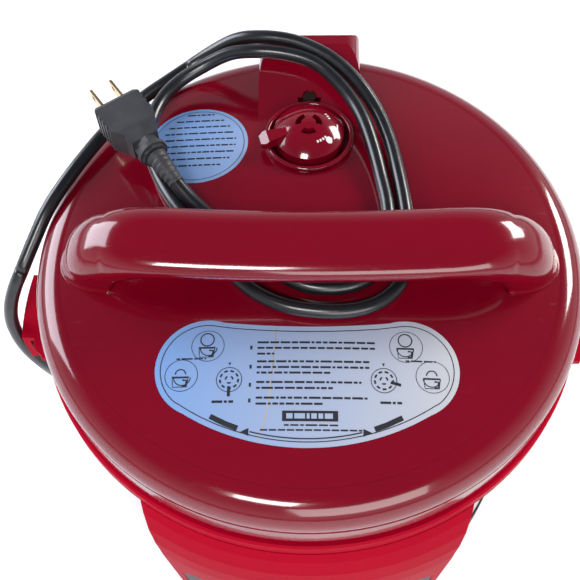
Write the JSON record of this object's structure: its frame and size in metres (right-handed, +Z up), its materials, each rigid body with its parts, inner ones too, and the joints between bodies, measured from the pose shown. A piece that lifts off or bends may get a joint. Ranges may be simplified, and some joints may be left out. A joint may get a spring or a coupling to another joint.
{
  "type": "electric pressure cooker",
  "caption": "Round red electric pressure cooker with a domed lid that turns and tilts up on a rear hinge, arched handle, steam valve and cord wrapped through the handle.",
  "frame": {"origin": "centre of the footprint (without the cord), on the surface the feet stand on", "axes": "+Z up, front with the control panel towards -Y, lid hinge towards +Y, arched lid handle along X"},
  "size_m": [0.3609, 0.3278, 0.2982],
  "materials": {
    "brushed_steel_wrap": "brushed",
    "red_plastic": "glossy",
    "red_lid": "glossy",
    "black_plastic": "satin",
    "foot_rubber": "matte",
    "screw_steel": "satin",
    "panel_black": "glossy",
    "display_tint": "glossy",
    "display_black": "matte",
    "button_grey": "satin",
    "board_green": "satin",
    "pot_steel": "satin",
    "plate_aluminium": "satin",
    "element_steel": "oxidised",
    "pot_aluminium": "satin",
    "sensor_steel": "satin",
    "spring_steel": "bright",
    "terminal_nylon": "matte",
    "clear_plastic": "clear",
    "carriage_steel": "satin",
    "pin_chrome": "polished",
    "lid_steel": "satin",
    "silicone_clear": "translucent",
    "label_silver": "satin foil",
    "float_metal": "satin",
    "cord_black": "glossy",
    "plug_grey": "satin",
    "blade_brass": "bright"
  },
  "bodies": {
    "base": {"outer_shell": "brushed_steel_wrap", "rim_ring": "red_plastic", "base_pan": "black_plastic", "feet": "foot_rubber", "base_screws": "screw_steel", "side_handle_left": "red_plastic", "side_handle_right": "red_plastic", "side_grip_left": "black_plastic", "side_grip_right": "black_plastic", "handle_screws": "screw_steel", "front_housing": "red_plastic", "control_panel": "panel_black", "display_window": "display_tint", "display_module": "display_black", "control_board": "board_green", "outer_pot": "pot_steel", "heating_plate": "plate_aluminium", "heating_element": "element_steel", "plate_posts": "screw_steel", "inner_pot": "pot_aluminium", "sensor_spring": "spring_steel", "sensor_seat": "sensor_steel", "terminal_block": "terminal_nylon", "cord_gland": "cord_black", "cup_bracket": "black_plastic", "bracket_screw": "screw_steel", "cord_lead": "cord_black"},
    "carriage": {"carriage_ring": "carriage_steel", "hinge_pin": "pin_chrome"},
    "lid": {"lid_cover": "red_lid", "lid_handle": "red_lid", "handle_underside": "red_lid", "handle_bolts": "screw_steel", "lid_plate": "lid_steel", "sealing_gasket": "silicone_clear", "gasket_hoop": "spring_steel", "lid_screws": "screw_steel", "exhaust_stem": "lid_steel", "clog_shield": "lid_steel", "valve_bezel": "red_lid", "float_seal": "silicone_clear", "label_front": "label_silver", "label_side": "label_silver", "cord_loops": "cord_black", "plug_collar": "plug_grey", "plug_body": "plug_grey", "plug_blades": "blade_brass"},
    "knob": {"valve_knob": "red_lid", "valve_weight": "sensor_steel"},
    "float": {"float_valve": "float_metal"},
    "sensor": {"sensor_cap": "sensor_steel"},
    "cup": {"condensation_cup": "clear_plastic"},
    "key_1": {"button_1": "button_grey"},
    "key_2": {"button_2": "button_grey"},
    "key_3": {"button_3": "button_grey"},
    "key_4": {"button_4": "button_grey"},
    "key_5": {"button_5": "button_grey"},
    "key_6": {"button_6": "button_grey"}
  },
  "joints": [
    {"name": "lid_turn", "type": "hinge", "parent": "base", "child": "carriage", "pos_m": [0, 0, 0.2165], "axis": [0, 0, 1], "range_deg": [0, 22]},
    {"name": "lid_tilt", "type": "hinge", "parent": "carriage", "child": "lid", "pos_m": [0, 0.158, 0.222], "axis": [-1, 0, 0], "range_deg": [0, 92]},
    {"name": "knob_turn", "type": "hinge", "parent": "lid", "child": "knob", "pos_m": [0, 0.07, 0.26], "axis": [0, 0, 1], "range_deg": [-20, 35]},
    {"name": "float_lift", "type": "slide", "parent": "lid", "child": "float", "axis": [0, 0, 1], "range_m": [0, 0.003]},
    {"name": "sensor_press", "type": "slide", "parent": "base", "child": "sensor", "axis": [0, 0, -1], "range_m": [0, 0.003], "stiffness_N_per_m": 400, "springref_m": -0.003, "deforming": ["sensor_spring"]},
    {"name": "cup_pull", "type": "slide", "parent": "base", "child": "cup", "axis": [0, 0, 1], "range_m": [0, 0.036]},
    {"name": "press_key_1", "type": "slide", "parent": "base", "child": "key_1", "axis": [0.2924, 0.9563, 0], "range_m": [0, 0.0012], "stiffness_N_per_m": 600, "springref_m": -0.001},
    {"name": "press_key_2", "type": "slide", "parent": "base", "child": "key_2", "axis": [0, 1, 0], "range_m": [0, 0.0012], "stiffness_N_per_m": 600, "springref_m": -0.001},
    {"name": "press_key_3", "type": "slide", "parent": "base", "child": "key_3", "axis": [-0.2924, 0.9563, 0], "range_m": [0, 0.0012], "stiffness_N_per_m": 600, "springref_m": -0.001},
    {"name": "press_key_4", "type": "slide", "parent": "base", "child": "key_4", "axis": [0.2924, 0.9563, 0], "range_m": [0, 0.0012], "stiffness_N_per_m": 600, "springref_m": -0.001},
    {"name": "press_key_5", "type": "slide", "parent": "base", "child": "key_5", "axis": [0, 1, 0], "range_m": [0, 0.0012], "stiffness_N_per_m": 600, "springref_m": -0.001},
    {"name": "press_key_6", "type": "slide", "parent": "base", "child": "key_6", "axis": [-0.2924, 0.9563, 0], "range_m": [0, 0.0012], "stiffness_N_per_m": 600, "springref_m": -0.001}
  ]
}
